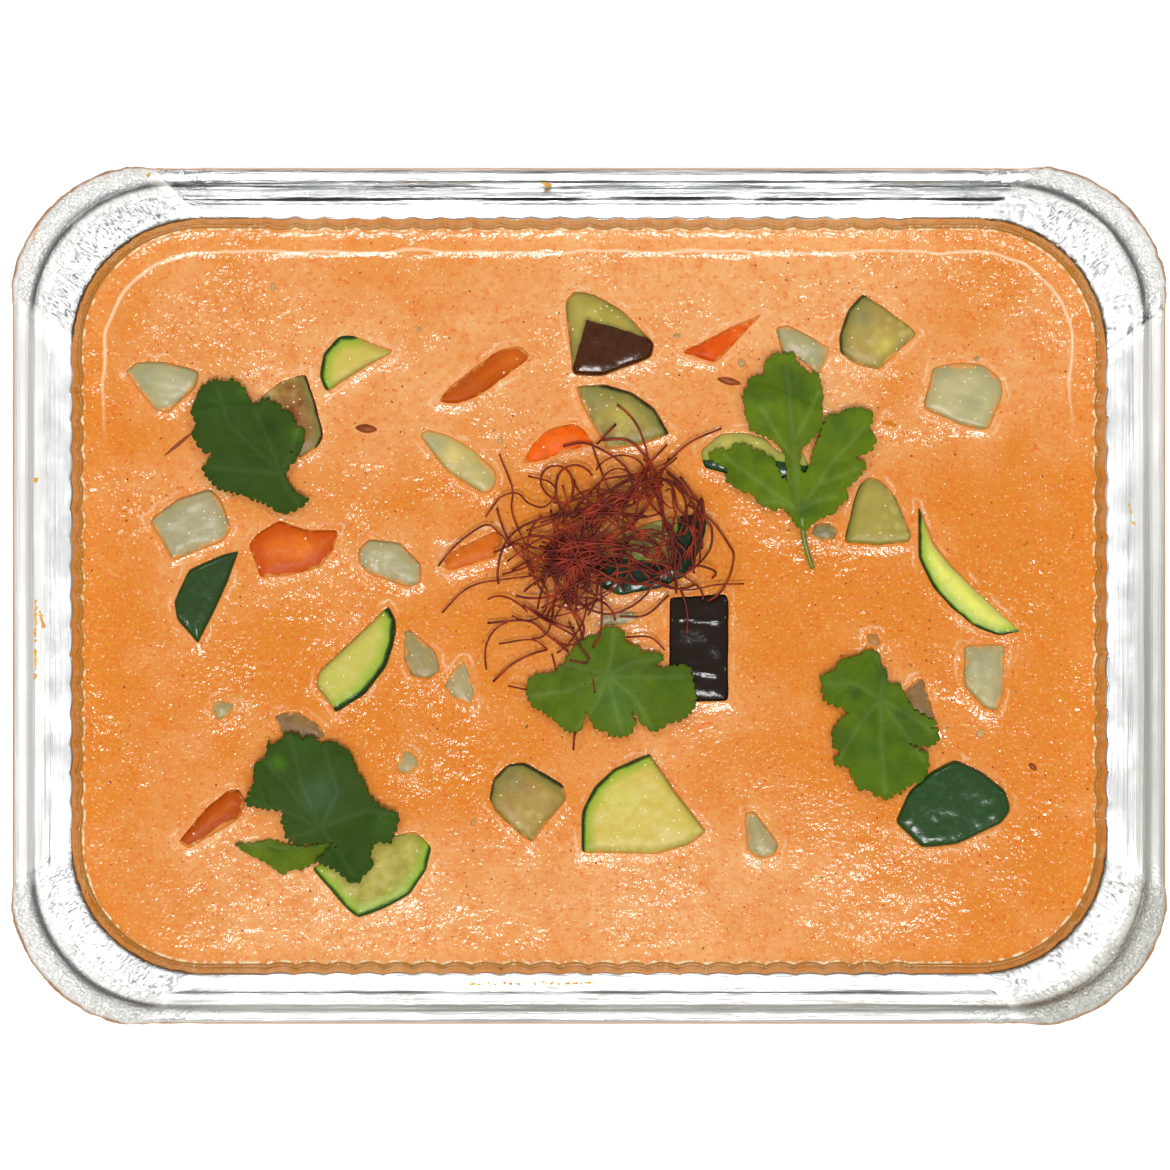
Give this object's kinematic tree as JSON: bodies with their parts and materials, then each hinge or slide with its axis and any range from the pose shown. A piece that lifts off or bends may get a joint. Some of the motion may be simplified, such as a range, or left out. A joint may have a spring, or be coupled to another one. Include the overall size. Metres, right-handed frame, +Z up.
{
  "type": "foil tray meal",
  "caption": "Ready meal of vegetable curry with herb leaves and a nest of chilli threads, in a rectangular pressed foil tray with a rolled rim.",
  "frame": {"origin": "middle of the tray's base, on the surface that the tray stands on", "axes": "+X along the tray's long side, to the right in the picture; +Y along its short side, up in the picture; +Z up"},
  "size_m": [0.227, 0.1686, 0.0316],
  "materials": {
    "foil": "bright pressed foil",
    "sauce": "wet, oily orange curry sauce",
    "onion": "wet, translucent cooked onion",
    "carrot": "wet cooked carrot",
    "aubergine": "wet cooked aubergine, dark skin",
    "peel": "wet brown peel",
    "courgette": "wet cooked courgette, green skin",
    "herb_leaf": "fresh leaf, satin",
    "chilli": "dried chilli threads"
  },
  "bodies": {
    "root": {"foil_tray": "foil", "curry_sauce": "sauce", "onion_1": "onion", "onion_2": "onion", "onion_3": "onion", "onion_4": "onion", "onion_5": "onion", "onion_6": "onion", "onion_7": "onion", "onion_8": "onion", "onion_9": "onion", "onion_10": "onion", "onion_11": "onion", "onion_12": "onion", "onion_13": "onion", "onion_14": "onion", "carrot_1": "carrot", "carrot_2": "carrot", "carrot_3": "carrot", "carrot_4": "carrot", "carrot_5": "carrot", "carrot_6": "carrot", "carrot_7": "carrot", "aubergine_1": "aubergine", "aubergine_2": "aubergine", "aubergine_3": "aubergine", "aubergine_4": "aubergine", "aubergine_5": "aubergine", "aubergine_6": "aubergine", "aubergine_7": "aubergine", "peel_1": "peel", "peel_2": "peel", "peel_3": "peel", "courgette_1": "courgette", "courgette_2": "courgette", "courgette_3": "courgette", "courgette_4": "courgette", "courgette_5": "courgette", "courgette_6": "courgette", "courgette_7": "courgette", "courgette_8": "courgette", "courgette_9": "courgette", "herb_leaf_1": "herb_leaf", "herb_leaf_2": "herb_leaf", "herb_leaf_3": "herb_leaf", "herb_leaf_4": "herb_leaf", "herb_leaf_5": "herb_leaf", "herb_leaf_6": "herb_leaf", "chilli_threads": "chilli"}
  },
  "joints": []
}
